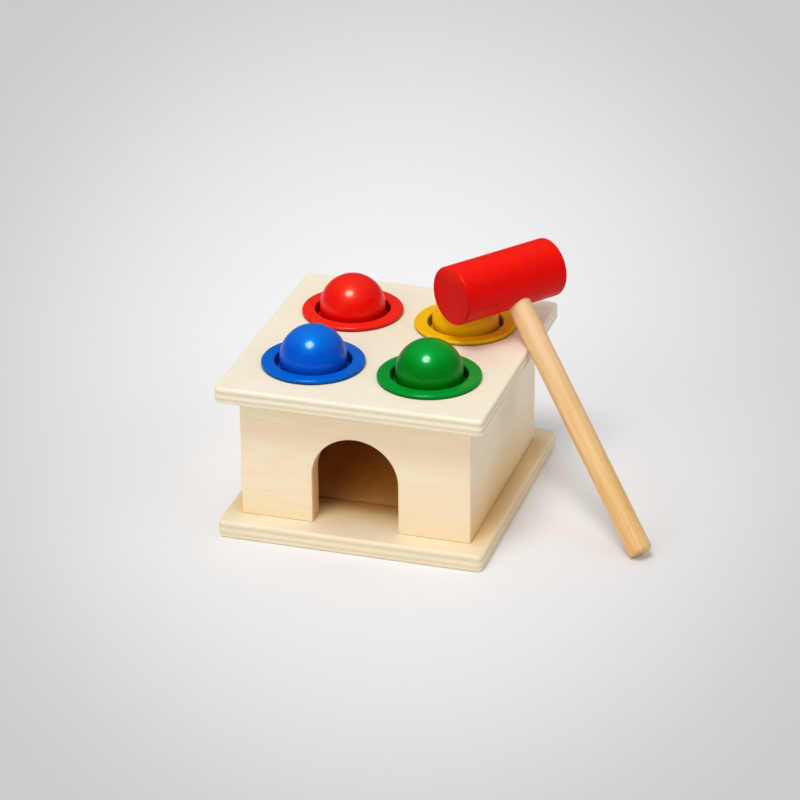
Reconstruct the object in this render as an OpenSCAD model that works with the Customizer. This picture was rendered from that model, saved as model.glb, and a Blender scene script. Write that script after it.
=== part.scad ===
// Ball pounding box: four balls sit in coloured rings on top, a mallet knocks them through,
// and a sloping board inside rolls them out of the arched door.
// Millimetres. X runs along the front, the door faces -Y, +Z is up, and the origin is the
// middle of the underside, on the surface that the box stands on.

/* [Balls and rings] */
// Diameter of each ball
ball_d = 45; // [42:0.5:52]
// Height of a resting ball's centre above the top panel
ball_proud = 4; // [2:0.5:6]
// Free ring of air between a ball and the bore of its ring
ball_ring_gap = 3.15; // [2.5:0.05:4]
// Width of a ring's flat rim, from its bore to its outer edge
ring_rim = 8.85; // [6:0.05:10]
// Height of a ring's rim above the top panel
ring_h = 3; // [2:0.1:4]
// Rounding of a ring's outer top edge
ring_round = 1.6; // [0.5:0.1:1.8]
// Rounding of a ring's edge at its bore
bore_round = 0.8; // [0.3:0.1:1]
// Wall of the sleeve that goes down into the top panel
sleeve_t = 2.8; // [2.4:0.1:4]
// Part of the top panel's thickness that stays free below a sleeve
sleeve_short = 1.5; // [0.5:0.1:3]
// Free width between neighbouring rings, left to right
ring_gap_x = 10.5; // [6:0.5:20]
// Free width between neighbouring rings, front to back
ring_gap_y = 16.5; // [6:0.5:26]

/* [Soft grips] */
// How far each soft grip reaches under its ball, on the radius
grip_bite = 2; // [1:0.1:3]
// Thickness of a soft grip
grip_t = 1.6; // [1:0.1:2.2]
// Depth of the groove that holds a grip in its sleeve
grip_groove = 1.4; // [0.8:0.1:1.8]

/* [Box] */
// Height of the four walls
wall_h = 86; // [80:1:110]
// Thickness of the four walls
wall_t = 14; // [12:0.5:18]
// Thickness of the base panel
base_t = 12; // [10:0.5:18]
// Thickness of the top panel
top_t = 11.5; // [10:0.5:18]
// Air between a fallen ball and a side wall
ball_side_gap = 2.25; // [1:0.25:5]
// Air between a fallen ball and the front or back wall
ball_end_gap = 1.75; // [1:0.25:5]
// How far both panels stand past the side walls
side_overhang = 12; // [6:0.5:20]
// How far both panels stand past the front and back walls
end_overhang = 15.5; // [6:0.5:24]
// Radius of the panels' corners, seen from above
corner_r = 4; // [4:0.5:10]
// Rounding of the panels' edges
edge_r = 1.8; // [0.6:0.1:1.9]
// Rounding of the walls' upright outer corners
wall_round = 1; // [0.4:0.1:3]

/* [Door] */
// Width of the arched door
door_w = 59; // [54:1:70]
// Height of the arched door at its crown
door_h = 64; // [56:1:74]
// Rounding of the door's edges, outside and inside
door_round = 0.8; // [0.3:0.1:2]

/* [Ramp] */
// Thickness of the ramp board
ramp_t = 4; // [3:0.5:6]
// Height of the ramp's upper face at the back wall, above the base panel
ramp_rise = 38; // [24:1:38]
// Height of the blunt edge at the ramp's feathered front end
ramp_lip = 0.8; // [0.4:0.1:1.5]
// Distance from the front face to the ramp's front end
ramp_setback = 34; // [24:1:44]
// Width of the wedge-shaped rails under the ramp
rail_w = 10; // [6:0.5:14]

/* [Mallet] */
// Diameter of the mallet's head
head_d = 40; // [32:1:48]
// Length of the mallet's head
head_l = 82; // [66:1:100]
// How far the handle is set from the middle of the head
head_shift = 5.5; // [0:0.5:6]
// Rounding of the head's edges
head_round = 1.4; // [0.5:0.1:3]
// Diameter of the handle
handle_d = 16; // [12:0.5:18]
// Length of the handle from the head's axis to its foot
handle_l = 204; // [190:1:240]
// How far the handle goes into the head past the head's axis
handle_seat = 10; // [4:1:14]
// Rounding of the handle's foot
foot_round = 2.4; // [0.4:0.1:4]
// Turn of the leaning handle away from the box's X axis, in degrees
lean_turn = 37.1; // [30:0.1:45]
// How high round its ball the head rests, in degrees above level
rest_angle = 53.3; // [45:0.1:62]

/* [Fasteners] */
// Diameter of the dowels between the walls and the top panel
dowel_d = 6; // [5:0.5:8]
// Depth of a dowel in the top panel
dowel_in_top = 7; // [5:0.5:8]
// Depth of a dowel in a wall
dowel_in_wall = 15; // [10:1:20]
// Diameter of the base screws
screw_d = 4; // [3:0.5:5]
// Length of the base screws
screw_l = 32; // [26:1:45]
// Diameter of a base screw's countersunk head
screw_head_d = 8; // [6.5:0.5:9]
// Thickness of the loose splines in the mitred corners
spline_t = 3; // [2:0.5:4]
// Width of the splines across the mitre
spline_w = 9; // [6:0.5:10]

/* [Hidden] */
$fn = 96;

// Clearances: between pieces that move, and round pieces that are glued or pressed in
rest_gap = 0.3;
fit_gap = 0.05;
// Air at the bottom of a blind hole
blind_gap = 0.5;
// Overrun of every cut
over = 1;

// Balls, rings and grips
ball_r = ball_d / 2;
ring_bore_r = ball_r + ball_ring_gap;
ring_r = ring_bore_r + ring_rim;
sleeve_r = ring_bore_r + sleeve_t;
panel_hole_r = sleeve_r + fit_gap;
ring_pitch_x = 2 * ring_r + ring_gap_x;
ring_pitch_y = 2 * ring_r + ring_gap_y;

// Box: the walls stand just clear of the balls that drop between them
body_w = ring_pitch_x + ball_d + 2 * (ball_side_gap + wall_t);
body_d = ring_pitch_y + ball_d + 2 * (ball_end_gap + wall_t);
panel_w = body_w + 2 * side_overhang;
panel_d = body_d + 2 * end_overhang;
wall_top_z = base_t + wall_h;
top_z = wall_top_z + top_t;
ball_z = top_z + ball_proud;
sleeve_z = wall_top_z + sleeve_short;
door_straight_h = door_h - door_w / 2;

// Grips: the rounded inner edge holds the ball from below
grip_edge_r = grip_t / 2;
grip_in_r = ball_r - grip_bite;
grip_out_r = ring_bore_r + grip_groove;
grip_z = ball_z - sqrt(pow(ball_r + rest_gap + grip_edge_r, 2) - pow(grip_in_r + grip_edge_r, 2));

// Ramp: a straight slope from the door to the back wall, planed flat under its front end
ramp_y0 = ramp_setback - body_d / 2;
ramp_y1 = body_d / 2 - wall_t;
ramp_angle = atan2(ramp_rise - ramp_lip, ramp_y1 - ramp_y0);
ramp_under_h = ramp_rise - ramp_t / cos(ramp_angle);
ramp_under_l = ramp_under_h / tan(ramp_angle);
ramp_w = body_w - 2 * (wall_t + rest_gap);

// Rails: wedges under the ramp that leave out the first part of its underside
rail_start_share = 0.2;
rail_y0 = ramp_y1 - ramp_under_l * (1 - rail_start_share);

// Places of the dowels and screws, as shares of the box's width and depth
dowel_share = 0.12;
screw_share = 0.34;

// Screw heads: height, recess below the underside and crossed slots, as shares of their width
screw_h_share = 0.25;
recess_share = 0.0625;
slot_w_share = 0.125;
slot_l_share = 0.6;
screw_head_h = screw_head_d * screw_h_share;
screw_recess = screw_head_d * recess_share;
screw_slot_w = screw_head_d * slot_w_share;
screw_slot_l = screw_head_d * slot_l_share;

// Part of a wall's height that has no spline, at each end
spline_end_share = 0.08;
spline_h = wall_h * (1 - 2 * spline_end_share);

// Mallet: its foot stands on the floor, its handle leans on the rounded right edge of the
// top panel, and its head lies on the yellow ball, so these give its place
head_r = head_d / 2;
handle_r = handle_d / 2;
rest_reach = head_r + ball_r + rest_gap;
head_z = ball_z + rest_reach * sin(rest_angle);
foot_core_r = handle_r - foot_round;
foot_core_l = handle_l - foot_round;
lean_tilt = asin((head_z - foot_round) / norm([foot_core_l, foot_core_r]))
    - atan2(foot_core_r, foot_core_l);
foot_z = head_z - handle_l * sin(lean_tilt);
lean_run = cos(lean_tilt) * cos(lean_turn);
lean_slope = norm([sin(lean_tilt), lean_run]);
foot_x = panel_w / 2 - edge_r + (lean_slope * (handle_r + edge_r + rest_gap)
    + (top_z - edge_r - foot_z) * lean_run) / sin(lean_tilt);
foot_reach = ring_pitch_x / 2 * cos(lean_turn) - ring_pitch_y / 2 * sin(lean_turn)
    + rest_reach * cos(rest_angle) + handle_l * cos(lean_tilt);
foot_y = (foot_x * cos(lean_turn) - foot_reach) / sin(lean_turn);
head_x = foot_x - handle_l * lean_run;
head_y = foot_y + handle_l * cos(lean_tilt) * sin(lean_turn);

// Ring places: [x side, y side] of the box's middle
red_place = [-1, 1];
yellow_place = [1, 1];
blue_place = [-1, -1];
green_place = [1, -1];

birch = [0.93, 0.86, 0.74];
beech = [0.86, 0.67, 0.42];
ply = [0.90, 0.82, 0.68];
paint_red = [0.89, 0.07, 0.04];
paint_yellow = [0.98, 0.78, 0.05];
paint_blue = [0.02, 0.31, 0.78];
paint_green = [0.02, 0.52, 0.15];
zinc = [0.75, 0.76, 0.78];

// Moves its children to one ring's place
module at_ring(place) {
    translate([place[0] * ring_pitch_x / 2, place[1] * ring_pitch_y / 2, 0]) children();
}

// Section of a plate with rounded edges, centred on its width and standing on zero
module edge_section(width, thick, round_r) {
    translate([-width / 2 + round_r, 0]) square([width - 2 * round_r, thick]);
    translate([-width / 2, round_r]) square([width, thick - 2 * round_r]);
    for (side = [-1, 1], level = [round_r, thick - round_r])
        translate([side * (width / 2 - round_r), level]) circle(r = round_r);
}

// Half of that section, for a plate's round corners
module corner_section(radius, thick, round_r) {
    square([radius - round_r, thick]);
    translate([0, round_r]) square([radius, thick - 2 * round_r]);
    for (level = [round_r, thick - round_r])
        translate([radius - round_r, level]) circle(r = round_r);
}

// Plywood panel with round corners and rounded edges
module panel(thick) {
    translate([0, panel_d / 2 - corner_r, 0]) rotate([90, 0, 0])
        linear_extrude(panel_d - 2 * corner_r) edge_section(panel_w, thick, edge_r);
    translate([corner_r - panel_w / 2, 0, 0]) rotate([90, 0, 90])
        linear_extrude(panel_w - 2 * corner_r) edge_section(panel_d, thick, edge_r);
    for (sx = [-1, 1], sy = [-1, 1])
        translate([sx * (panel_w / 2 - corner_r), sy * (panel_d / 2 - corner_r), 0])
            rotate_extrude() corner_section(corner_r, thick, edge_r);
}

// Repeats its children at the eight places along the middle of the walls
module along_walls(share) {
    for (sx = [-1, 1], sy = [-1, 1]) {
        translate([sx * share * body_w, sy * (body_d - wall_t) / 2, 0]) children();
        translate([sx * (body_w - wall_t) / 2, sy * share * body_d, 0]) children();
    }
}

module dowel_holes() {
    along_walls(dowel_share) translate([0, 0, wall_top_z - dowel_in_wall - blind_gap])
        cylinder(r = dowel_d / 2 + fit_gap, h = dowel_in_wall + dowel_in_top + 2 * blind_gap);
}

// Countersunk hole through the base, with a pilot hole up into the wall
module screw_holes() {
    along_walls(screw_share) {
        translate([0, 0, -over])
            cylinder(r = screw_d / 2 + fit_gap, h = screw_l + screw_recess + blind_gap + over);
        translate([0, 0, screw_recess])
            cylinder(r1 = screw_head_d / 2 + fit_gap, r2 = screw_d / 2 + fit_gap, h = screw_head_h);
        translate([0, 0, -over])
            cylinder(r = screw_head_d / 2 + fit_gap, h = screw_recess + over);
    }
}

// One spline across each mitred corner
module splines(grow) {
    for (sx = [-1, 1], sy = [-1, 1])
        translate([sx * (body_w - wall_t) / 2, sy * (body_d - wall_t) / 2,
                base_t + wall_h * spline_end_share - grow])
            rotate([0, 0, sx * sy * 45])
                translate([-spline_t / 2 - grow, -spline_w / 2 - grow, 0])
                    cube([spline_t + 2 * grow, spline_w + 2 * grow, spline_h + 2 * grow]);
}

// Outline of the four walls together, with rounded corners
module walls_outline() {
    square([body_w - 2 * wall_round, body_d], center = true);
    square([body_w, body_d - 2 * wall_round], center = true);
    for (sx = [-1, 1], sy = [-1, 1])
        translate([sx * (body_w / 2 - wall_round), sy * (body_d / 2 - wall_round)])
            circle(r = wall_round);
}

// Wall along X, mitred at both ends, with its outer face on the given side
module long_wall(side) {
    x = body_w / 2;
    y = side * body_d / 2;
    translate([0, 0, base_t]) linear_extrude(wall_h) intersection() {
        polygon([[-x, y], [x, y], [x - wall_t, y - side * wall_t], [wall_t - x, y - side * wall_t]]);
        walls_outline();
    }
}

// Wall along Y, mitred at both ends, with its outer face on the given side
module side_wall(side) {
    x = side * body_w / 2;
    y = body_d / 2;
    difference() {
        translate([0, 0, base_t]) linear_extrude(wall_h) intersection() {
            polygon([[x, -y], [x, y], [x - side * wall_t, y - wall_t], [x - side * wall_t, wall_t - y]]);
            walls_outline();
        }
        dowel_holes();
        screw_holes();
        splines(fit_gap);
    }
}

// What rounding takes off the door's edge: X out from the edge, Y into the wall
module door_edge_section() {
    difference() {
        translate([-over, -over]) square(door_round + over);
        translate([door_round, door_round]) circle(r = door_round);
    }
}

// Rounding round one face of the door, with that face at Y zero
module door_edge() {
    for (side = [0, 1]) mirror([side, 0, 0]) translate([door_w / 2, 0, -over])
        linear_extrude(door_straight_h + over) door_edge_section();
    translate([0, 0, door_straight_h]) rotate([-90, 0, 0])
        rotate_extrude() translate([door_w / 2, 0]) door_edge_section();
}

module door_cut() {
    translate([-door_w / 2, -body_d / 2 - over, base_t - over])
        cube([door_w, wall_t + 2 * over, door_straight_h + over]);
    translate([0, wall_t + over - body_d / 2, base_t + door_straight_h])
        rotate([90, 0, 0]) cylinder(r = door_w / 2, h = wall_t + 2 * over);
    translate([0, -body_d / 2, base_t]) door_edge();
    translate([0, wall_t - body_d / 2, base_t]) mirror([0, 1, 0]) door_edge();
}

module base_panel() {
    color(ply) difference() {
        panel(base_t);
        screw_holes();
    }
}

module top_panel() {
    color(ply) difference() {
        translate([0, 0, wall_top_z]) panel(top_t);
        for (place = [red_place, yellow_place, blue_place, green_place])
            at_ring(place) translate([0, 0, wall_top_z - over])
                cylinder(r = panel_hole_r, h = top_t + 2 * over);
        dowel_holes();
    }
}

module front_wall() {
    color(birch) difference() {
        long_wall(-1);
        door_cut();
        dowel_holes();
        screw_holes();
        splines(fit_gap);
    }
}

module back_wall() {
    color(birch) difference() {
        long_wall(1);
        dowel_holes();
        screw_holes();
        splines(fit_gap);
    }
}

module left_wall() {
    color(birch) side_wall(-1);
}

module right_wall() {
    color(birch) side_wall(1);
}

// Board on which the balls roll to the door
module ball_ramp() {
    color(ply) translate([-ramp_w / 2, 0, base_t]) rotate([90, 0, 90]) linear_extrude(ramp_w)
        polygon([[ramp_y0, 0], [ramp_y1 - ramp_under_l, 0], [ramp_y1, ramp_under_h],
            [ramp_y1, ramp_rise], [ramp_y0, ramp_lip]]);
}

// Wedge under one side of the ramp, glued to the base and the wall
module ramp_rail(side) {
    left = side < 0 ? wall_t - body_w / 2 : body_w / 2 - wall_t - rail_w;
    color(birch) translate([left, 0, base_t]) rotate([90, 0, 90]) linear_extrude(rail_w)
        polygon([[rail_y0, 0], [ramp_y1, 0], [ramp_y1, ramp_under_h],
            [rail_y0, ramp_under_h * rail_start_share]]);
}

module ramp_rail_left() {
    ramp_rail(-1);
}

module ramp_rail_right() {
    ramp_rail(1);
}

// Section of a ring: flat rim with rounded edges, and a grooved sleeve below it
module ring_section() {
    difference() {
        union() {
            translate([ring_bore_r, sleeve_z - top_z])
                square([sleeve_t, top_z - sleeve_z + ring_h - bore_round]);
            translate([ring_bore_r + bore_round, 0])
                square([ring_rim - bore_round - ring_round, ring_h]);
            translate([ring_r - ring_round, 0]) square([ring_round, ring_h - ring_round]);
            translate([ring_bore_r + bore_round, ring_h - bore_round]) circle(r = bore_round);
            intersection() {
                translate([ring_r - ring_round, ring_h - ring_round]) circle(r = ring_round);
                square([ring_r, ring_h]);
            }
        }
        translate([ring_bore_r - over, grip_z - top_z - grip_edge_r - fit_gap])
            square([grip_groove + fit_gap + over, grip_t + 2 * fit_gap]);
    }
}

module ring(place, paint) {
    color(paint) at_ring(place) translate([0, 0, top_z]) rotate_extrude() ring_section();
}

module ring_red() {
    ring(red_place, paint_red);
}

module ring_yellow() {
    ring(yellow_place, paint_yellow);
}

module ring_blue() {
    ring(blue_place, paint_blue);
}

module ring_green() {
    ring(green_place, paint_green);
}

// Soft washer in the sleeve's groove, with a rounded inner edge under the ball
module grip(place, paint) {
    color(paint) at_ring(place) translate([0, 0, grip_z]) rotate_extrude() {
        translate([grip_in_r + grip_edge_r, -grip_edge_r])
            square([grip_out_r - grip_in_r - grip_edge_r, grip_t]);
        translate([grip_in_r + grip_edge_r, 0]) circle(r = grip_edge_r);
    }
}

module grip_red() {
    grip(red_place, paint_red);
}

module grip_yellow() {
    grip(yellow_place, paint_yellow);
}

module grip_blue() {
    grip(blue_place, paint_blue);
}

module grip_green() {
    grip(green_place, paint_green);
}

module ball(place, paint) {
    color(paint) at_ring(place) translate([0, 0, ball_z]) sphere(r = ball_r);
}

module ball_red() {
    ball(red_place, paint_red);
}

module ball_yellow() {
    ball(yellow_place, paint_yellow);
}

module ball_blue() {
    ball(blue_place, paint_blue);
}

module ball_green() {
    ball(green_place, paint_green);
}

// Round bar along +Z with rounded edges at one end or at both
module round_bar(radius, length, round_r, both) {
    bottom = both ? round_r : 0;
    rotate_extrude() {
        square([radius - round_r, length]);
        translate([0, bottom]) square([radius, length - round_r - bottom]);
        translate([radius - round_r, length - round_r]) circle(r = round_r);
        if (both) translate([radius - round_r, round_r]) circle(r = round_r);
    }
}

// Moves the mallet from its own frame, head along X and handle down -Z, to where it leans
module leaning() {
    translate([head_x, head_y, head_z]) rotate([lean_tilt - 90, 0, 90 - lean_turn]) children();
}

module mallet_head() {
    color(paint_red) leaning() difference() {
        translate([-head_l / 2 - head_shift, 0, 0]) rotate([0, 90, 0])
            round_bar(head_r, head_l, head_round, true);
        translate([0, 0, -head_r - over])
            cylinder(r = handle_r + fit_gap, h = head_r + over + handle_seat + blind_gap);
    }
}

module mallet_handle() {
    color(beech) leaning() translate([0, 0, handle_seat]) rotate([180, 0, 0])
        round_bar(handle_r, handle_l + handle_seat, foot_round, false);
}

module top_dowels() {
    color(beech) along_walls(dowel_share) translate([0, 0, wall_top_z - dowel_in_wall])
        cylinder(r = dowel_d / 2, h = dowel_in_wall + dowel_in_top);
}

// Countersunk wood screws driven up through the base, with crossed slots in their heads
module base_screws() {
    color(zinc) along_walls(screw_share) translate([0, 0, screw_recess]) difference() {
        union() {
            cylinder(r1 = screw_head_d / 2, r2 = screw_d / 2, h = screw_head_h);
            cylinder(r = screw_d / 2, h = screw_l);
        }
        for (turn = [0, 90]) rotate([0, 0, turn])
            translate([-screw_slot_l / 2, -screw_slot_w / 2, -over])
                cube([screw_slot_l, screw_slot_w, screw_head_h / 2 + over]);
    }
}

module corner_splines() {
    color(beech) splines(0);
}

base_panel();
top_panel();
front_wall();
back_wall();
left_wall();
right_wall();
ball_ramp();
ramp_rail_left();
ramp_rail_right();
ring_red();
ring_yellow();
ring_blue();
ring_green();
grip_red();
grip_yellow();
grip_blue();
grip_green();
ball_red();
ball_yellow();
ball_blue();
ball_green();
mallet_head();
mallet_handle();
top_dowels();
base_screws();
corner_splines();
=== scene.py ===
import math
import bpy
import numpy as np
from mathutils import Matrix, Vector


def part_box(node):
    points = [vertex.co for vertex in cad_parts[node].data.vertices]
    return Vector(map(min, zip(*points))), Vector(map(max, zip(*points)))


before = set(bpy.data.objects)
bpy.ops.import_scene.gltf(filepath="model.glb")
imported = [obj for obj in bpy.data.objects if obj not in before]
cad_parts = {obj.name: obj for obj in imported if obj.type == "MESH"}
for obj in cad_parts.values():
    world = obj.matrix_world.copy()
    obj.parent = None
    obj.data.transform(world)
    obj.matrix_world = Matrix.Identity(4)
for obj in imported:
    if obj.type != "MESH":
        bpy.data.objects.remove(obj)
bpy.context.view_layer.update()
print("frame loaded:", len(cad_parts), "nodes")


# Turn of a camera or lamp that looks from an azimuth and an elevation, in degrees. Azimuth 0 is in
# front of the door, and it grows to the right.
def aim(azimuth, elevation):
    turn = Matrix.Rotation(math.radians(azimuth), 4, "Z")
    return turn @ Matrix.Rotation(math.radians(90 - elevation), 4, "X")


# Camera: measured from the photograph's edges, in the frame of the box. Metres and degrees, with
# the lens and the sensor in millimetres.
cameraSetup = {
    "place": (0.60719, -1.94759, 1.05789),
    "azimuth": 17.144,
    "elevation": 25.893,
    "roll": -0.423,
    "lens": 152.3,
    "sensor": 36.0,
    "nearest": 0.05,
    "farthest": 50,
}


def makeCamera(setup):
    lensData = bpy.data.cameras.new("camera")
    lensData.lens = setup["lens"]
    lensData.sensor_width = setup["sensor"]
    lensData.clip_start = setup["nearest"]
    lensData.clip_end = setup["farthest"]
    camera = bpy.data.objects.new("camera", lensData)
    bpy.context.scene.collection.objects.link(camera)
    roll = Matrix.Rotation(math.radians(setup["roll"]), 4, "Z")
    facing = aim(setup["azimuth"], setup["elevation"])
    camera.matrix_world = Matrix.Translation(setup["place"]) @ facing @ roll
    bpy.context.scene.camera = camera


makeCamera(cameraSetup)
print("camera placed")


# A material with one shader: returns it, its node tree and the shader
def newMaterial(name):
    material = bpy.data.materials.new(name)
    material.use_nodes = True
    tree = material.node_tree
    tree.nodes.clear()
    shader = tree.nodes.new("ShaderNodeBsdfPrincipled")
    output = tree.nodes.new("ShaderNodeOutputMaterial")
    tree.links.new(shader.outputs[0], output.inputs["Surface"])
    return material, tree, shader


# A new material on a CAD node
def dress(nodeName, materialName):
    material, tree, shader = newMaterial(materialName)
    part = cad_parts[nodeName]
    part.data.materials.clear()
    part.data.materials.append(material)
    return tree, shader


# Node helpers: an input is a number, a colour or the socket that feeds it
def setInputs(tree, node, inputs):
    for key, value in inputs.items():
        if isinstance(value, bpy.types.NodeSocket):
            tree.links.new(value, node.inputs[key])
        else:
            node.inputs[key].default_value = value


def addNode(tree, kind, inputs, **settings):
    node = tree.nodes.new(kind)
    for key, value in settings.items():
        setattr(node, key, value)
    setInputs(tree, node, inputs)
    return node


def calc(tree, operation, *values):
    return addNode(tree, "ShaderNodeMath", dict(enumerate(values)), operation=operation).outputs[0]


def spread(tree, value, low, high, toLow=0.0, toHigh=1.0, smooth=False):
    kind = "SMOOTHSTEP" if smooth else "LINEAR"
    inputs = {"Value": value, "From Min": low, "From Max": high, "To Min": toLow, "To Max": toHigh}
    return addNode(tree, "ShaderNodeMapRange", inputs, interpolation_type=kind).outputs[0]


# Smooth share of something that is absent at one value and full at the other
def fade(tree, value, absent, full, most=1.0):
    return spread(tree, value, absent, full, 0.0, most, True)


def mixColour(tree, factor, first, second):
    inputs = {0: factor, 6: first, 7: second}
    return addNode(tree, "ShaderNodeMix", inputs, data_type="RGBA").outputs[2]


def colourRamp(tree, factor, stops):
    node = addNode(tree, "ShaderNodeValToRGB", {0: factor})
    elements = node.color_ramp.elements
    elements.remove(elements[1])
    for index, (place, colour) in enumerate(stops):
        element = elements.new(place) if index else elements[0]
        element.position = place
        element.color = colour
    return node.outputs[0]


# A colour as pictures hold it, from 0 to 255, in the linear light that shaders read
def srgb(red, green, blue):
    def toLinear(value):
        share = value / 255
        return share / 12.92 if share <= 0.04045 else ((share + 0.055) / 1.055) ** 2.4
    return toLinear(red), toLinear(green), toLinear(blue), 1.0


# Coordinates of a spot on a piece, in metres, in the frame of the box
def objectCoords(tree):
    return addNode(tree, "ShaderNodeTexCoord", {}).outputs["Object"]


def spotOf(tree):
    return addNode(tree, "ShaderNodeSeparateXYZ", {0: objectCoords(tree)}).outputs


# Noise whose features have the given size in metres, measured from a place along turned axes
def noise(tree, feature, detail, distortion=0.0, place=(0, 0, 0), turn=(0, 0, 0)):
    inputs = {"Vector": objectCoords(tree), "Location": place, "Rotation": turn, "Scale": feature}
    mapped = addNode(tree, "ShaderNodeMapping", inputs, vector_type="TEXTURE").outputs[0]
    inputs = {"Vector": mapped, "Scale": 1.0, "Detail": detail, "Distortion": distortion}
    return addNode(tree, "ShaderNodeTexNoise", inputs).outputs[0]


# Turns of the grain
alongFront = (0, 0, 0)
alongSide = (0, 0, math.pi / 2)
upright = (0, math.pi / 2, 0)

# Nearly all values of a noise lie in the first span. The second gives patches a clearer edge.
noiseSpan = (0.3, 0.7)
patchSpan = (0.35, 0.65)
black = (0.0, 0.0, 0.0, 1.0)

# What all the woods share: how fine their grain is, and how much it roughens the lacquer
grainSetup = {
    "figureDetail": 1.5,
    "figureDistortion": 0.5,
    "fibreDetail": 3.0,
    "patchDetail": 1.0,
    "fleckEdge": 0.08,
    "fleckShare": 0.8,
    "smoothest": -0.05,
    "roughest": 0.07,
    "bumpStrength": 0.5,
}


# Wood: growth lines, fibres, a slow tint and short flecks, all drawn out along the grain
def woodGrain(tree, setup, place, turn):
    figure = noise(tree, setup["figure"], grainSetup["figureDetail"], grainSetup["figureDistortion"],
                   place, turn)
    lines = calc(tree, "SINE", calc(tree, "MULTIPLY", figure, setup["lines"] * 2 * math.pi))
    fibres = noise(tree, setup["fibre"], grainSetup["fibreDetail"], 0.0, place, turn)
    tint = noise(tree, setup["tint"], grainSetup["patchDetail"], 0.0, place, turn)
    flecks = noise(tree, setup["fleckSize"], grainSetup["patchDetail"], 0.0, place, turn)
    lineShare = spread(tree, lines, -1.0, 1.0, 0.0, setup["lineShare"])
    fibreShare = spread(tree, fibres, *noiseSpan, 0.0, 1 - setup["lineShare"])
    colour = mixColour(tree, calc(tree, "ADD", lineShare, fibreShare), setup["pale"], setup["dark"])
    colour = mixColour(tree, spread(tree, tint, *patchSpan), colour, setup["warm"])
    fleckEnd = setup["fleckStart"] + grainSetup["fleckEdge"]
    fleckShare = fade(tree, flecks, setup["fleckStart"], fleckEnd, grainSetup["fleckShare"])
    return mixColour(tree, fleckShare, colour, setup["fleck"]), fibres


def finishWood(tree, shader, setup, colour, fibres):
    smoothest = setup["roughness"] + grainSetup["smoothest"]
    roughest = setup["roughness"] + grainSetup["roughest"]
    roughness = spread(tree, fibres, *noiseSpan, smoothest, roughest)
    inputs = {"Height": fibres, "Strength": grainSetup["bumpStrength"], "Distance": setup["bump"]}
    bump = addNode(tree, "ShaderNodeBump", inputs).outputs[0]
    setInputs(tree, shader, {"Base Color": colour, "Roughness": roughness, "Normal": bump})
    shader.inputs["Specular IOR Level"].default_value = setup["specular"]


# How deep a spot lies behind the walls' outer faces, from 0 to 1 between two depths in metres
def inside(tree, spot, near, far):
    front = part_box("front_wall")[0]
    depths = [calc(tree, "ADD", calc(tree, "ABSOLUTE", spot[axis]), front[axis]) for axis in (0, 1)]
    return fade(tree, calc(tree, "MAXIMUM", *depths), -near, -far)


# How near a spot outside the box lies to the side walls, from 1 at their faces to 0 at a reach
def beside(tree, spot, reach):
    low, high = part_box("right_wall")
    across = calc(tree, "ABSOLUTE", spot["X"])
    along = calc(tree, "ABSOLUTE", spot["Y"])
    near = fade(tree, across, high[0] + reach, high[0])
    within = fade(tree, along, high[1] + reach / 2, high[1] - reach / 2)
    outside = calc(tree, "GREATER_THAN", across, low[0])
    return calc(tree, "MULTIPLY", calc(tree, "MULTIPLY", near, within), outside)


# Plywood: five plies by height, the crossed ones darker, with thin glue lines between them.
# Spans and the skin are parts of a ply, and the skin keeps glue off the panel's own faces.
plywoodSetup = {
    "pale": srgb(254, 245, 223),
    "dark": srgb(250, 238, 212),
    "warm": srgb(253, 242, 216),
    "fleck": srgb(240, 222, 188),
    "cross": srgb(236, 220, 191),
    "glue": srgb(216, 190, 150),
    "plies": 5,
    "skin": 0.2,
    "crossSpan": (0.5, 0.74),
    "glueSpan": (0.4, 0.5),
    "glueShare": 0.35,
    "waves": (0.02, 0.02, 0.006),
    "waveDetail": 2.0,
    "waviness": 0.0006,
    "endGrain": (0.0007, 0.0007, 0.004),
    "endDetail": 2.0,
    "endShare": 0.15,
    "figure": (0.22, 0.045, 0.045),
    "lines": 4,
    "lineShare": 0.45,
    "fibre": (0.03, 0.0008, 0.0008),
    "tint": (0.15, 0.04, 0.04),
    "fleckSize": (0.006, 0.0006, 0.0006),
    "fleckStart": 0.72,
    "roughness": 0.5,
    "specular": 0.25,
    "bump": 0.00003,
}
# The base is a shade darker. Painted shade makes it warmer between the walls and browner still
# further in, and a painted warm shade lies in a strip along each side wall
baseSetup = dict(
    plywoodSetup,
    pale=srgb(244, 230, 204),
    dark=srgb(237, 221, 191),
    warm=srgb(243, 225, 195),
    cross=srgb(229, 211, 176),
    inner=srgb(255, 222, 160),
    innerDepth=(-0.008, 0.026),
    paintedShade=srgb(224, 164, 92),
    paintedShadeDepth=(0.018, 0.034),
    besideWallShade=srgb(232, 194, 132),
    besideWallShadeShare=0.85,
    besideWallShadeReach=0.02,
)


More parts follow.
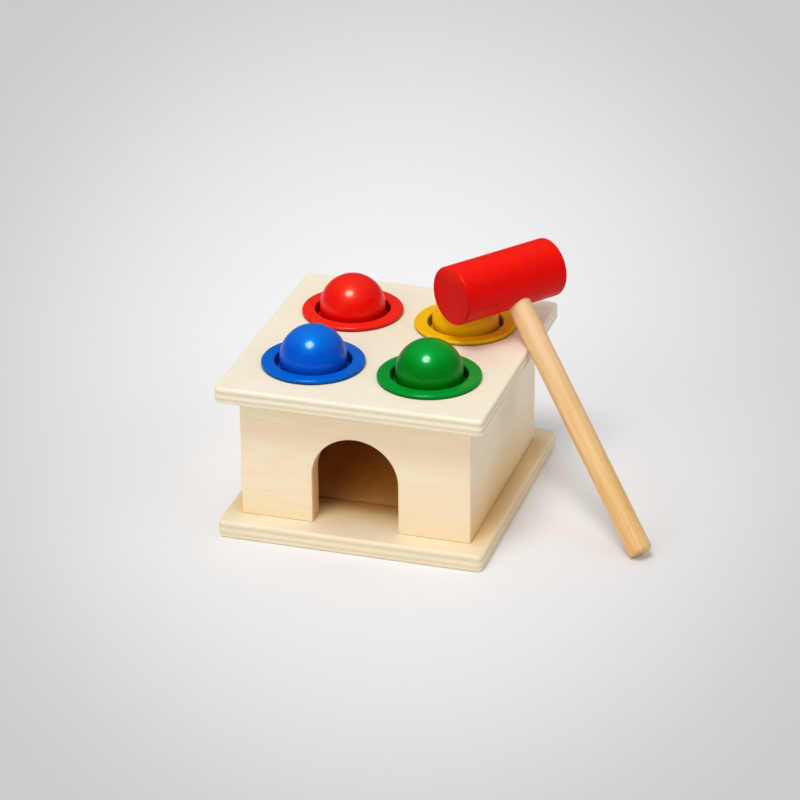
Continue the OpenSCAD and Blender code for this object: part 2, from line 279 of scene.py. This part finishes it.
# Counted in plies from the underside, a ply's middle lies at a half and a seam at a whole number
def dressPlywood(nodeName, materialName, setup):
    tree, shader = dress(nodeName, materialName)
    low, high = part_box(nodeName)
    spot = spotOf(tree)
    waves = noise(tree, setup["waves"], setup["waveDetail"])
    wave = spread(tree, waves, 0.0, 1.0, -setup["waviness"], setup["waviness"])
    ply = spread(tree, calc(tree, "ADD", spot["Z"], wave), low[2], high[2], 0.0, setup["plies"])
    ply = calc(tree, "MINIMUM", calc(tree, "MAXIMUM", ply, setup["skin"]), setup["plies"] - setup["skin"])
    crossed = calc(tree, "PINGPONG", calc(tree, "SUBTRACT", ply, 0.5), 1.0)
    seam = calc(tree, "PINGPONG", calc(tree, "ADD", ply, 0.5), 0.5)
    colour, fibres = woodGrain(tree, setup, (0, 0, low[2]), alongFront)
    ends = noise(tree, setup["endGrain"], setup["endDetail"])
    endShare = spread(tree, ends, *patchSpan, 0.0, setup["endShare"])
    crossColour = mixColour(tree, endShare, setup["cross"], setup["glue"])
    colour = mixColour(tree, fade(tree, crossed, *setup["crossSpan"]), colour, crossColour)
    glueShare = spread(tree, seam, *setup["glueSpan"], 0.0, setup["glueShare"])
    colour = mixColour(tree, glueShare, colour, setup["glue"])
    # Painted shade: a warm strip beside the side walls, warmer between the walls, browner further in
    if "inner" in setup:
        besideWallShadeShare = calc(tree, "MULTIPLY", beside(tree, spot, setup["besideWallShadeReach"]), setup["besideWallShadeShare"])
        colour = mixColour(tree, besideWallShadeShare, colour, setup["besideWallShade"])
        colour = mixColour(tree, inside(tree, spot, *setup["innerDepth"]), colour, setup["inner"])
        colour = mixColour(tree, inside(tree, spot, *setup["paintedShadeDepth"]), colour, setup["paintedShade"])
    finishWood(tree, shader, setup, colour, fibres)


dressPlywood("top_panel", "plywood_top", plywoodSetup)
dressPlywood("base_panel", "plywood_base", baseSetup)
print("plywood done")

# Walls: pale solid birch with the grain level all round, painted shade that makes them browner on
# the inner side and deeper in tone low down, and a painted dark line of shadow where they stand on the
# base
birchSetup = {
    "pale": srgb(255, 241, 210),
    "dark": srgb(249, 227, 188),
    "warm": srgb(254, 230, 196),
    "fleck": srgb(232, 200, 156),
    "inner": srgb(250, 198, 134),
    "innerDepth": (0.0004, 0.006),
    "low": srgb(240, 218, 176),
    "lowShadeShare": 0.4,
    "lowShadeShareBack": 0.4,
    "lowShadeHeight": 0.05,
    "seam": srgb(190, 158, 112),
    "shadowLineHeight": 0.0007,
    "figure": (0.25, 0.028, 0.028),
    "lines": 6,
    "lineShare": 0.4,
    "fibre": (0.03, 0.0008, 0.0008),
    "tint": (0.12, 0.018, 0.018),
    "fleckSize": (0.006, 0.0006, 0.0006),
    "fleckStart": 0.7,
    "roughness": 0.5,
    "specular": 0.25,
    "bump": 0.00004,
}
sideSetup = dict(
    birchSetup,
    pale=srgb(253, 240, 217),
    dark=srgb(246, 230, 201),
    warm=srgb(252, 235, 208),
    low=srgb(240, 202, 140),
    lowShadeShare=0.85,
    seam=srgb(132, 94, 52),
    inner=srgb(230, 168, 98),
)
# Each wall's figure is taken from its own place in the noise
wallSetup = {
    "front_wall": dict(birchSetup, place=(0.31, 0.0, 0.0), turn=alongFront),
    "back_wall": dict(birchSetup, place=(0.93, 0.0, 0.1), turn=alongFront),
    "left_wall": dict(sideSetup, place=(0.2, 0.5, 0.0), turn=alongSide),
    "right_wall": dict(sideSetup, place=(0.0, 0.9, 0.2), turn=alongSide),
}


def dressWall(nodeName, setup):
    tree, shader = dress(nodeName, "birch_" + nodeName)
    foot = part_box(nodeName)[0][2]
    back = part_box("back_wall")[1][1]
    spot = spotOf(tree)
    colour, fibres = woodGrain(tree, setup, setup["place"], setup["turn"])
    # Painted shade: deeper in tone low down, browner on the inner side, and a dark line of shadow at the
    # foot
    nearFoot = fade(tree, spot["Z"], foot + setup["lowShadeHeight"], foot)
    nearFront = spread(tree, spot["Y"], 0.0, back, setup["lowShadeShare"], setup["lowShadeShareBack"])
    colour = mixColour(tree, calc(tree, "MULTIPLY", nearFoot, nearFront), colour, setup["low"])
    colour = mixColour(tree, inside(tree, spot, *setup["innerDepth"]), colour, setup["inner"])
    shadowLineShare = fade(tree, spot["Z"], foot + setup["shadowLineHeight"], foot)
    colour = mixColour(tree, shadowLineShare, colour, setup["seam"])
    finishWood(tree, shader, setup, colour, fibres)


for nodeName, setup in wallSetup.items():
    dressWall(nodeName, setup)
print("walls done")

# Ramp and rails inside: plain brown board; painted light makes it a little paler low down,
# and painted shade gives it a darker front edge
rampSetup = dict(
    birchSetup,
    pale=srgb(226, 150, 64),
    dark=srgb(208, 128, 44),
    warm=srgb(218, 138, 50),
    fleck=srgb(160, 98, 44),
    foot=srgb(222, 158, 86),
    footLightHeight=0.009,
    lipShade=srgb(172, 118, 60),
    lipShadeHeight=0.0016,
    place=(0.4, 0.0, 0.0),
    turn=alongSide,
    roughness=0.7,
)


def dressBoard(nodeName, setup):
    tree, shader = dress(nodeName, "board_" + nodeName)
    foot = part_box(nodeName)[0][2]
    height = spotOf(tree)["Z"]
    colour, fibres = woodGrain(tree, setup, setup["place"], setup["turn"])
    # Painted light makes the ramp paler low down, and painted shade darkens its front edge
    colour = mixColour(tree, fade(tree, height, foot + setup["footLightHeight"], foot), colour, setup["foot"])
    lipShadeShare = fade(tree, height, foot + setup["lipShadeHeight"], foot + setup["lipShadeHeight"] / 2)
    colour = mixColour(tree, lipShadeShare, colour, setup["lipShade"])
    finishWood(tree, shader, setup, colour, fibres)


for nodeName in ("ball_ramp", "ramp_rail_left", "ramp_rail_right"):
    dressBoard(nodeName, rampSetup)
print("ramp done")

# Beech: warmer, with the short dark flecks of the species
beechSetup = {
    "pale": srgb(245, 207, 156),
    "dark": srgb(230, 184, 122),
    "warm": srgb(225, 177, 107),
    "fleck": srgb(198, 140, 82),
    "figure": (0.16, 0.010, 0.010),
    "lines": 3,
    "lineShare": 0.45,
    "fibre": (0.02, 0.0006, 0.0006),
    "tint": (0.06, 0.0022, 0.0022),
    "fleckSize": (0.008, 0.0005, 0.0005),
    "fleckStart": 0.66,
    "roughness": 0.4,
    "specular": 0.22,
    "bump": 0.00004,
}
handleSetup = dict(beechSetup, upper=srgb(255, 222, 180), upperShare=0.4, upperFrom=0.03, upperTo=0.14)


# Middle and turn of a long straight part, so that its grain can follow it
def longAxis(nodeName):
    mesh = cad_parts[nodeName].data
    flat = np.empty(len(mesh.vertices) * 3)
    mesh.vertices.foreach_get("co", flat)
    points = flat.reshape(-1, 3)
    middle = points.mean(axis=0)
    axes = np.linalg.svd(points - middle, full_matrices=False)[2]
    turn = Vector(axes[0]).to_track_quat("X", "Z").to_euler()
    return tuple(middle), tuple(turn)


# Handle: paler towards the head
def dressHandle(nodeName, setup):
    tree, shader = dress(nodeName, "beech_handle")
    colour, fibres = woodGrain(tree, setup, *longAxis(nodeName))
    height = spotOf(tree)["Z"]
    upperShare = fade(tree, height, setup["upperFrom"], setup["upperTo"], setup["upperShare"])
    colour = mixColour(tree, upperShare, colour, setup["upper"])
    finishWood(tree, shader, setup, colour, fibres)


def dressPeg(nodeName, materialName, setup):
    tree, shader = dress(nodeName, materialName)
    colour, fibres = woodGrain(tree, setup, (0, 0, 0), upright)
    finishWood(tree, shader, setup, colour, fibres)


dressHandle("mallet_handle", handleSetup)
dressPeg("top_dowels", "beech_dowels", beechSetup)
dressPeg("corner_splines", "beech_splines", beechSetup)
print("beech done")

# Paint, moulded rings and soft grips: a slow change of shade, a faint orange peel and uneven
# gloss. The paint's own sheen is coloured, and a clear coat over it gives the white highlight.
# Balls and head are painted lighter at the top and darker below, as light falls on them: the paint
# turns to a painted shade between two shares of their height, from the upper down to the lower.
# A ring has painted shade at its foot, up to a height above the panel.
glossSetup = {
    "ball": {"roughness": 0.4, "peel": 0.0016, "bump": 0.00002, "shade": 0.07, "specular": 0.38,
             "coat": 0.3, "coatRoughness": 0.1, "lightToShadeShares": (0.72, 0.96)},
    "ring": {"roughness": 0.25, "peel": 0.0009, "bump": 0.000003, "shade": 0.04, "specular": 0.12,
             "coat": 0.22, "coatRoughness": 0.12, "foot": 0.0028},
    "head": {"roughness": 0.5, "peel": 0.0014, "bump": 0.00002, "shade": 0.07, "specular": 0.13,
             "coat": 0.1, "coatRoughness": 0.16, "lightToShadeShares": (0.7, 1.0)},
    "grip": {"roughness": 0.6, "peel": 0.0007, "bump": 0.00003, "shade": 0.1, "specular": 0.2,
             "coat": 0.0, "coatRoughness": 0.1},
}
# What all of these share
filmSetup = {
    "cloud": 0.012,
    "cloudDetail": 2.0,
    "peelDetail": 1.0,
    "smoothest": -0.03,
    "roughest": 0.04,
    "bumpStrength": 0.4,
    "footShadeShare": 0.8,
}
# The rings' colour is their own moulded colour with some painted sheen mixed in
colours = {
    "red": {"paint": srgb(255, 26, 12), "paintedShade": srgb(246, 0, 0), "mouldedWithSheen": srgb(252, 40, 24),
            "shine": (1.0, 0.42, 0.2, 1.0)},
    "yellow": {"paint": srgb(255, 212, 12), "paintedShade": srgb(255, 194, 0), "mouldedWithSheen": srgb(254, 200, 6),
               "shine": (1.0, 0.8, 0.1, 1.0)},
    "blue": {"paint": srgb(0, 110, 228), "paintedShade": srgb(0, 80, 210), "mouldedWithSheen": srgb(0, 102, 214),
             "shine": (0.03, 0.9, 1.0, 1.0)},
    "green": {"paint": srgb(0, 156, 46), "paintedShade": srgb(0, 124, 6), "mouldedWithSheen": srgb(0, 154, 50),
              "shine": (0.03, 1.0, 0.35, 1.0)},
}
headTones = {"paint": srgb(255, 18, 4), "paintedShade": srgb(232, 0, 0), "shine": colours["red"]["shine"]}


def dressGloss(nodeName, colour, tones, setup):
    tree, shader = dress(nodeName, "gloss_" + nodeName)
    cloud = noise(tree, (filmSetup["cloud"],) * 3, filmSetup["cloudDetail"])
    peel = noise(tree, (setup["peel"],) * 3, filmSetup["peelDetail"])
    height = spotOf(tree)["Z"]
    # Painted light and shade: the paint on top, turning to a painted shade lower down
    if "lightToShadeShares" in setup:
        foot, top = (corner[2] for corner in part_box(nodeName))
        start, end = (foot + (top - foot) * share for share in setup["lightToShadeShares"])
        colour = mixColour(tree, fade(tree, height, end, start), colour, tones["paintedShade"])
    shade = spread(tree, cloud, *noiseSpan, 0.0, setup["shade"])
    colour = mixColour(tree, shade, colour, black)
    # Painted shade at a ring's foot
    if "foot" in setup:
        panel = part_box("top_panel")[1][2]
        footShadeShare = fade(tree, height, panel + setup["foot"], panel, filmSetup["footShadeShare"])
        colour = mixColour(tree, footShadeShare, colour, black)
    smoothest = setup["roughness"] + filmSetup["smoothest"]
    roughest = setup["roughness"] + filmSetup["roughest"]
    roughness = spread(tree, cloud, *noiseSpan, smoothest, roughest)
    inputs = {"Height": peel, "Strength": filmSetup["bumpStrength"], "Distance": setup["bump"]}
    bump = addNode(tree, "ShaderNodeBump", inputs).outputs[0]
    setInputs(tree, shader, {"Base Color": colour, "Roughness": roughness, "Normal": bump})
    shader.inputs["Specular IOR Level"].default_value = setup["specular"]
    shader.inputs["Specular Tint"].default_value = tones["shine"]
    shader.inputs["Coat Weight"].default_value = setup["coat"]
    shader.inputs["Coat Roughness"].default_value = setup["coatRoughness"]


for colourName, tones in colours.items():
    for kind, base in (("ball", "paint"), ("ring", "mouldedWithSheen"), ("grip", "paint")):
        dressGloss(kind + "_" + colourName, tones[base], tones, glossSetup[kind])
dressGloss("mallet_head", headTones["paint"], headTones, glossSetup["head"])
print("paint done")

# Screws: dull zinc
zincSetup = {
    "colour": srgb(205, 208, 212),
    "stain": srgb(158, 160, 160),
    "cloud": (0.0012, 0.0012, 0.0012),
    "cloudDetail": 4.0,
    "stainSpan": (0.4, 0.7),
    "smoothest": 0.32,
    "roughest": 0.52,
}


def dressZinc(nodeName, setup):
    tree, shader = dress(nodeName, "zinc")
    cloud = noise(tree, setup["cloud"], setup["cloudDetail"])
    colour = mixColour(tree, spread(tree, cloud, *setup["stainSpan"]), setup["colour"], setup["stain"])
    roughness = spread(tree, cloud, *noiseSpan, setup["smoothest"], setup["roughest"])
    setInputs(tree, shader, {"Base Color": colour, "Roughness": roughness})
    shader.inputs["Metallic"].default_value = 1.0


dressZinc("base_screws", zincSetup)
print("screws done")

# Floor: a painted pool of light, palest round the box and greyer towards the picture's edges, in a
# round that stretches away from the camera, as a round on the picture does. Near the box it is a
# little cool, which makes up for the warm light that the wood throws on it.
floorSetup = {
    "size": 8.0,
    "centre": (-0.0345, 0.130, 0.0),
    "stretch": 0.372,
    "reach": (0.428, 0.98, 1.0),
    "tones": ((0.0, 0.931), (0.1, 0.925), (0.2, 0.907), (0.333, 0.866), (0.467, 0.805), (0.6, 0.73),
              (0.733, 0.656), (0.867, 0.606), (1.0, 0.6)),
    "cool": 0.024,
    "roughness": 0.9,
    "specular": 0.0,
}


def makeFloor(setup):
    bpy.ops.mesh.primitive_plane_add(size=setup["size"])
    floor = bpy.context.object
    floor.name = "floor"
    material, tree, shader = newMaterial("floor")
    turn = (0, 0, math.radians(cameraSetup["azimuth"]))
    inputs = {"Vector": objectCoords(tree), "Location": setup["centre"], "Rotation": turn}
    mapped = addNode(tree, "ShaderNodeMapping", inputs, vector_type="TEXTURE").outputs[0]
    depth = addNode(tree, "ShaderNodeSeparateXYZ", {0: mapped}).outputs["Y"]
    growth = calc(tree, "ADD", calc(tree, "MULTIPLY", depth, setup["stretch"]), 1.0)
    inputs = {0: mapped, "Scale": calc(tree, "DIVIDE", 1.0, growth)}
    flat = addNode(tree, "ShaderNodeVectorMath", inputs, operation="SCALE").outputs[0]
    inputs = {0: flat, 1: setup["reach"]}
    shares = addNode(tree, "ShaderNodeVectorMath", inputs, operation="DIVIDE").outputs[0]
    away = addNode(tree, "ShaderNodeVectorMath", {0: shares}, operation="LENGTH").outputs["Value"]
    stops = []
    for place, tone in setup["tones"]:
        blue = tone * (1 + setup["cool"] * (1 - place))
        stops.append((place, (tone, tone, blue, 1.0)))
    setInputs(tree, shader, {"Base Color": colourRamp(tree, away, stops)})
    shader.inputs["Roughness"].default_value = setup["roughness"]
    shader.inputs["Specular IOR Level"].default_value = setup["specular"]
    floor.data.materials.append(material)


makeFloor(floorSetup)
print("floor laid")

# Lamps: azimuth from the front, elevation and width on the sky in degrees, and strength. The soft
# fills only light the piece and the sparkle is only mirrored in it, so that the paints keep their
# full colour.
lampSetup = {
    "key": {"azimuth": -8, "elevation": 66, "width": 30, "strength": 0.5, "lit": True, "mirrored": True},
    "core": {"azimuth": -8, "elevation": 66, "width": 20, "strength": 0.9, "lit": True, "mirrored": True},
    "sparkle": {"azimuth": -8, "elevation": 66, "width": 24, "strength": 3.0, "lit": False,
                "mirrored": True},
    "top": {"azimuth": -156, "elevation": 54, "width": 80, "strength": 0.45, "lit": True,
            "mirrored": False},
    "left": {"azimuth": -22, "elevation": 24, "width": 40, "strength": 0.72, "lit": True,
             "mirrored": False},
    "right": {"azimuth": 80, "elevation": 30, "width": 50, "strength": 0.44, "lit": True,
              "mirrored": False},
}


def makeLamp(name, setup):
    lampData = bpy.data.lights.new(name, "SUN")
    lampData.angle = math.radians(setup["width"])
    lampData.energy = setup["strength"]
    lamp = bpy.data.objects.new(name, lampData)
    lamp.visible_diffuse = setup["lit"]
    lamp.visible_glossy = setup["mirrored"]
    bpy.context.scene.collection.objects.link(lamp)
    lamp.matrix_world = aim(setup["azimuth"], setup["elevation"])


for name, setup in lampSetup.items():
    makeLamp(name, setup)

# World: an even white room, of which gloss mirrors less
worldSetup = {"colour": (1, 1, 1, 1), "strength": 0.31, "mirrored": 0.06}


def makeWorld(setup):
    world = bpy.data.worlds.new("world")
    world.use_nodes = True
    bpy.context.scene.world = world
    tree = world.node_tree
    glossyRay = addNode(tree, "ShaderNodeLightPath", {}).outputs["Is Glossy Ray"]
    strength = spread(tree, glossyRay, 0.0, 1.0, setup["strength"], setup["mirrored"])
    setInputs(tree, tree.nodes["Background"], {"Color": setup["colour"], "Strength": strength})


makeWorld(worldSetup)
bpy.context.scene.view_settings.view_transform = "Standard"
print("lights on")
